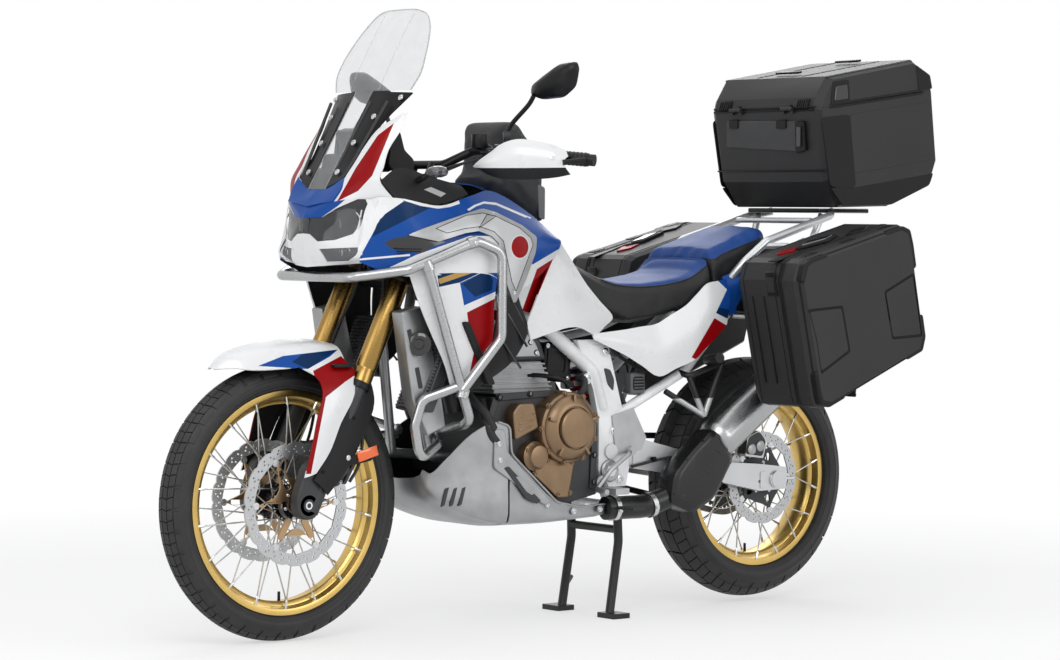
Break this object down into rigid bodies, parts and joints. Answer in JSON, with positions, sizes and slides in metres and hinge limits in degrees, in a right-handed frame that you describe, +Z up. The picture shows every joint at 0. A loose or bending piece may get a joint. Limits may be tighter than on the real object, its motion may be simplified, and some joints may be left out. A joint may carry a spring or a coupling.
{
  "type": "adventure motorcycle",
  "caption": "Tall adventure motorcycle on its centre stand, with clear screen, tank bag, tube crash bars, bash plate, wire-spoked wheels, side cases and top case.",
  "frame": {"origin": "on the floor, under the middle of the motorcycle's box", "axes": "-Y is the front, +X is the motorcycle's left side, +Z is up"},
  "size_m": [0.96, 2.4485, 1.592],
  "materials": {
    "frame_white": "satin enamel",
    "bronze_case": "satin bronze paint over cast cases",
    "dark_engine": "matte black cast metal",
    "raw_aluminium": "brushed sheet",
    "steel_tube": "polished tube",
    "black_plastic": "moulded, fine grain",
    "white_paint": "gloss",
    "blue_paint": "gloss metallic",
    "silver_paint": "satin metallic",
    "clear_screen": "clear, polished",
    "lamp_lens": "clear lens",
    "seat_cover": "grained vinyl",
    "bag_fabric": "woven nylon",
    "dark_steel": "heat darkened",
    "brushed_steel": "brushed",
    "black_steel": "powder coat",
    "chain_steel": "oiled",
    "case_plastic": "moulded, coarse grain",
    "fork_aluminium": "anodised",
    "bright_steel": "ground",
    "caliper_grey": "anodised grey",
    "tyre_rubber": "matte rubber",
    "gold_rim": "anodised gold"
  },
  "bodies": {
    "chassis": {"frame": "frame_white", "engine": "dark_engine", "engine_covers": "bronze_case", "cylinder_head": "dark_engine", "skid_plate": "raw_aluminium", "crash_bars": "steel_tube", "radiators": "black_plastic", "front_cowl": "white_paint", "windscreen": "clear_screen", "cockpit": "black_plastic", "lamps": "lamp_lens", "side_fairings": "blue_paint", "tank_panels": "silver_paint", "fuel_tank": "blue_paint", "side_covers": "white_paint", "tail": "black_plastic", "rider_seat": "seat_cover", "pillion_seat": "seat_cover", "tank_bag": "bag_fabric", "exhaust": "dark_steel", "muffler": "brushed_steel", "swingarm": "raw_aluminium", "chain": "chain_steel", "foot_controls": "dark_steel", "top_case": "case_plastic", "side_cases": "case_plastic", "luggage_carrier": "black_steel"},
    "steering": {"fork_tubes": "fork_aluminium", "fork_sliders": "fork_aluminium", "front_axle": "bright_steel", "front_calipers": "caliper_grey", "front_fender": "white_paint", "handlebar": "black_plastic", "hand_guards": "white_paint", "mirrors": "black_plastic"},
    "front_wheel": {"front_tyre": "tyre_rubber", "front_wheel": "gold_rim", "front_discs": "bright_steel"},
    "rear_wheel": {"rear_tyre": "tyre_rubber", "rear_wheel": "gold_rim", "rear_disc": "bright_steel", "rear_sprocket": "chain_steel"},
    "centre_stand": {"centre_stand": "black_steel"},
    "side_stand": {"side_stand": "black_steel"},
    "top_lid": {"top_lid": "case_plastic"},
    "left_lid": {"left_lid": "case_plastic"},
    "right_lid": {"right_lid": "case_plastic"}
  },
  "joints": [
    {"name": "steering", "type": "hinge", "parent": "chassis", "child": "steering", "pos_m": [0, -0.51444, 0.99284], "axis": [0, 0.4305, 0.9026], "range_deg": [-40, 40]},
    {"name": "front_wheel_spin", "type": "hinge", "parent": "steering", "child": "front_wheel", "pos_m": [0, -0.875, 0.3475], "axis": [1, 0, 0], "continuous": true},
    {"name": "rear_wheel_spin", "type": "hinge", "parent": "chassis", "child": "rear_wheel", "pos_m": [0, 0.7, 0.345], "axis": [1, 0, 0], "continuous": true},
    {"name": "centre_stand_swing", "type": "hinge", "parent": "chassis", "child": "centre_stand", "pos_m": [0, 0.15, 0.3], "axis": [1, 0, 0], "range_deg": [0, 78]},
    {"name": "side_stand_swing", "type": "hinge", "parent": "chassis", "child": "side_stand", "pos_m": [-0.157, 0.09, 0.3], "axis": [0.9508, 0, -0.3099], "range_deg": [-105, 0]},
    {"name": "top_lid_hinge", "type": "hinge", "parent": "chassis", "child": "top_lid", "pos_m": [0, 0.746, 1.3653], "axis": [1, 0, 0], "range_deg": [0, 75]},
    {"name": "left_lid_hinge", "type": "hinge", "parent": "chassis", "child": "left_lid", "pos_m": [0.4003, 0.74005, 0.6256], "axis": [0, 0.9245, 0.3813], "range_deg": [0, 80]},
    {"name": "right_lid_hinge", "type": "hinge", "parent": "chassis", "child": "right_lid", "pos_m": [-0.4003, 0.74005, 0.6256], "axis": [0, -0.9245, -0.3813], "range_deg": [0, 80]}
  ]
}
